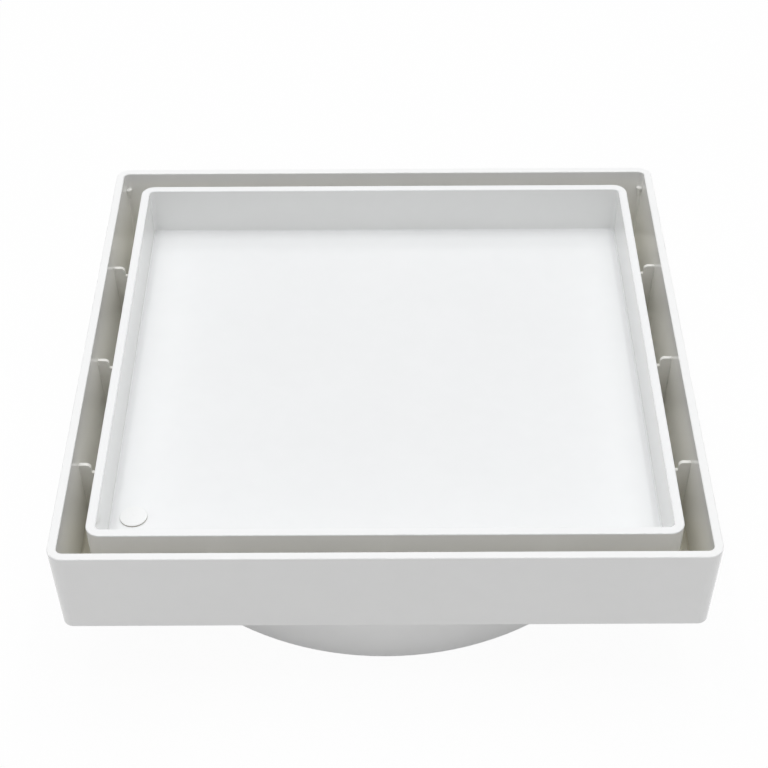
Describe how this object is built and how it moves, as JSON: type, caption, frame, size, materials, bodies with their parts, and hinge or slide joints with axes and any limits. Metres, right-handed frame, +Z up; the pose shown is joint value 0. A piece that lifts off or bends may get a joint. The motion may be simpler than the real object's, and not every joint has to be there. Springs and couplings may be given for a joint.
{
  "type": "floor drain",
  "caption": "Square floor drain: a moulded frame with a round outlet spigot below, and a lift-out tray that takes a floor tile and leaves a narrow drain slot all round.",
  "frame": {"origin": "centre of the outlet spigot's lower rim", "axes": "+Z up along the outlet's axis, -Y towards the front, where the lifting plug is on the left"},
  "size_m": [0.1152, 0.1152, 0.0336],
  "materials": {
    "frame_plastic": "smooth semi-gloss white moulding",
    "tray_plastic": "smooth semi-gloss white moulding",
    "plug_plastic": "smooth semi-gloss white moulding"
  },
  "bodies": {
    "root": {"frame_body": "frame_plastic", "tile_tray": "tray_plastic", "lift_hole_plug": "plug_plastic"}
  },
  "joints": []
}
